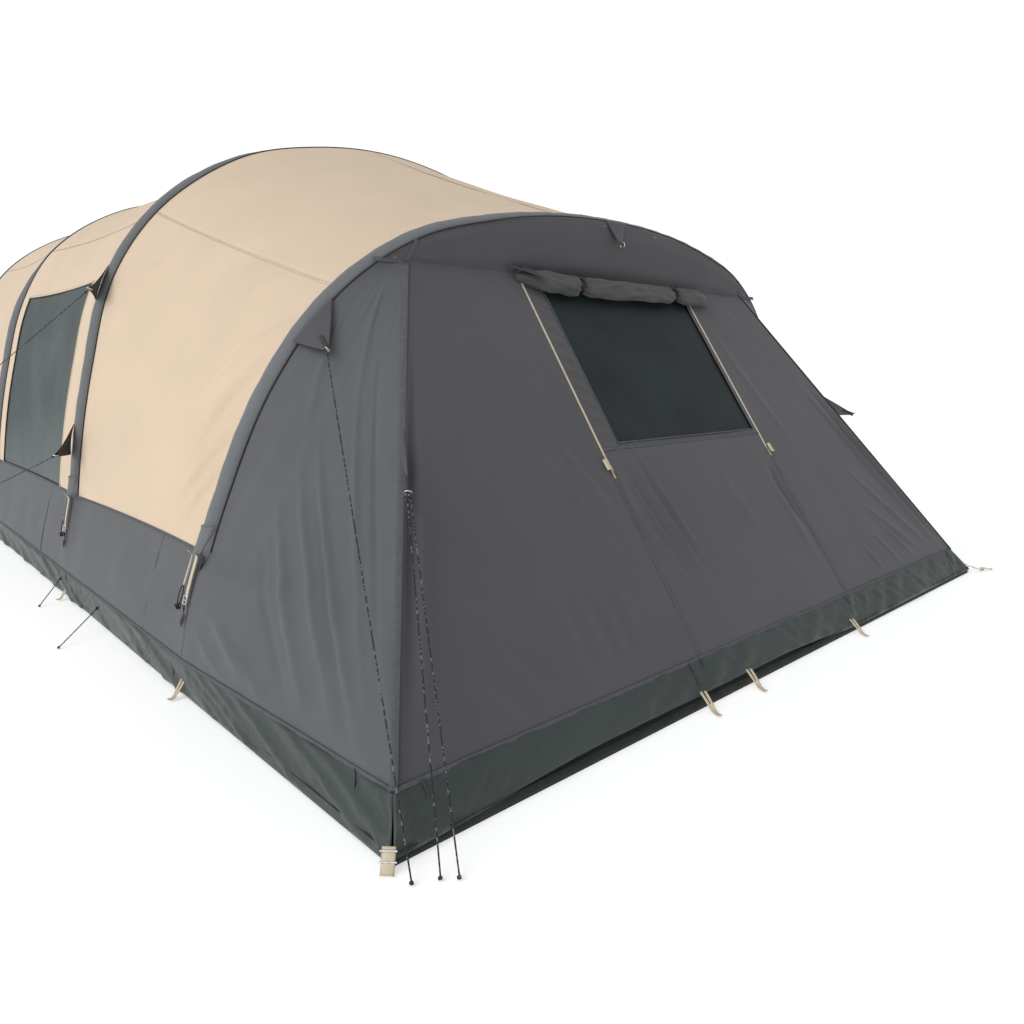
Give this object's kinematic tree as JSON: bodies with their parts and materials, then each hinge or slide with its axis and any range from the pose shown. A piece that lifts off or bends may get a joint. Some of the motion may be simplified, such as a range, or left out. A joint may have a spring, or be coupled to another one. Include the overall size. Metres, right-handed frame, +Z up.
{
  "type": "tent",
  "caption": "Tunnel tent on inflatable arch beams with a sloping rear wall, windows, zipped door, skirt, groundsheet and guy lines.",
  "frame": {"origin": "on the ground under the middle of the footprint", "axes": "+X to the right seen from the rear, +Y along the tunnel towards the front door, +Z up"},
  "size_m": [4.7676, 6.2966, 2.254],
  "materials": {
    "groundsheet_film": "matte coated film",
    "skirt_fabric": "coated, slightly glossy",
    "sleeve_fabric": "matte woven polyester",
    "bladder_film": "smooth translucent film",
    "valve_plastic": "satin",
    "beige_fabric": "matte polycotton",
    "window_film": "tinted clear film",
    "grey_fabric": "matte polycotton",
    "zip_metal": "painted metal slider and cord pull",
    "guy_cord": "braided cord with reflective fleck"
  },
  "bodies": {
    "root": {"groundsheet": "groundsheet_film", "skirt_left": "skirt_fabric", "skirt_right": "skirt_fabric", "skirt_rear": "skirt_fabric", "skirt_front": "skirt_fabric", "sleeve_rear": "sleeve_fabric", "sleeve_middle": "sleeve_fabric", "sleeve_third": "sleeve_fabric", "sleeve_front": "sleeve_fabric", "bladder_rear": "bladder_film", "bladder_middle": "bladder_film", "bladder_third": "bladder_film", "bladder_front": "bladder_film", "roof_rear_bay": "beige_fabric", "roof_centre_bay": "beige_fabric", "roof_front_bay": "beige_fabric", "side_rear_bay_left": "beige_fabric", "side_rear_bay_right": "beige_fabric", "side_front_bay_left": "beige_fabric", "side_front_bay_right": "beige_fabric", "front_panel_left": "beige_fabric", "front_panel_right": "beige_fabric", "front_panel_top": "beige_fabric", "side_window_left": "window_film", "side_window_right": "window_film", "rear_window": "window_film", "wall_left": "grey_fabric", "wall_right": "grey_fabric", "rear_panel_left": "grey_fabric", "rear_panel_right": "grey_fabric", "rear_panel_centre": "grey_fabric", "rear_band": "grey_fabric", "corner_panel_left": "grey_fabric", "corner_panel_right": "grey_fabric", "window_cover_roll": "grey_fabric", "guy_flap_arch": "grey_fabric", "guy_flap_corner_left": "grey_fabric", "guy_flap_corner_right": "grey_fabric", "guy_flap_ridge": "grey_fabric", "guy_flap_middle_high": "grey_fabric", "guy_flap_middle_low": "grey_fabric", "guy_line_arch": "guy_cord", "guy_line_corner_a": "guy_cord", "guy_line_corner_b": "guy_cord", "guy_line_middle_high": "guy_cord", "guy_line_middle_low": "guy_cord", "guy_line_side_a": "guy_cord", "guy_line_side_b": "guy_cord"},
    "window_zip_left": {"window_zip_slider_left": "zip_metal"},
    "window_zip_right": {"window_zip_slider_right": "zip_metal"},
    "door": {"door": "grey_fabric"},
    "door_zip": {"door_zip_slider": "zip_metal"},
    "valve_cap_rear": {"valve_cap_rear": "valve_plastic"},
    "valve_cap_middle": {"valve_cap_middle": "valve_plastic"},
    "valve_cap_third": {"valve_cap_third": "valve_plastic"},
    "valve_cap_front": {"valve_cap_front": "valve_plastic"}
  },
  "joints": [
    {"name": "window_zip_left_slide", "type": "slide", "parent": "root", "child": "window_zip_left", "axis": [0, 0.5707, 0.8212], "range_m": [0, 0.71]},
    {"name": "window_zip_right_slide", "type": "slide", "parent": "root", "child": "window_zip_right", "axis": [0, 0.5707, 0.8212], "range_m": [0, 0.71]},
    {"name": "door_hinge", "type": "hinge", "parent": "root", "child": "door", "pos_m": [-0.65, 3.102, 0.135], "axis": [0, 0, 1], "range_deg": [0, 110]},
    {"name": "door_zip_slide", "type": "slide", "parent": "root", "child": "door_zip", "axis": [0, 0, 1], "range_m": [0, 1.55]},
    {"name": "valve_cap_rear_turn", "type": "hinge", "parent": "root", "child": "valve_cap_rear", "pos_m": [-1.75299, -1.80545, 0.08877], "axis": [-0.0633, 0.1711, -0.9832], "continuous": true},
    {"name": "valve_cap_middle_turn", "type": "hinge", "parent": "root", "child": "valve_cap_middle", "pos_m": [-1.75159, -0.34, 0.08861], "axis": [-0.0822, 0, -0.9966], "continuous": true},
    {"name": "valve_cap_third_turn", "type": "hinge", "parent": "root", "child": "valve_cap_third", "pos_m": [-1.75159, 1.57, 0.08861], "axis": [-0.0822, 0, -0.9966], "continuous": true},
    {"name": "valve_cap_front_turn", "type": "hinge", "parent": "root", "child": "valve_cap_front", "pos_m": [-1.75159, 3.06, 0.08861], "axis": [-0.0822, 0, -0.9966], "continuous": true}
  ]
}
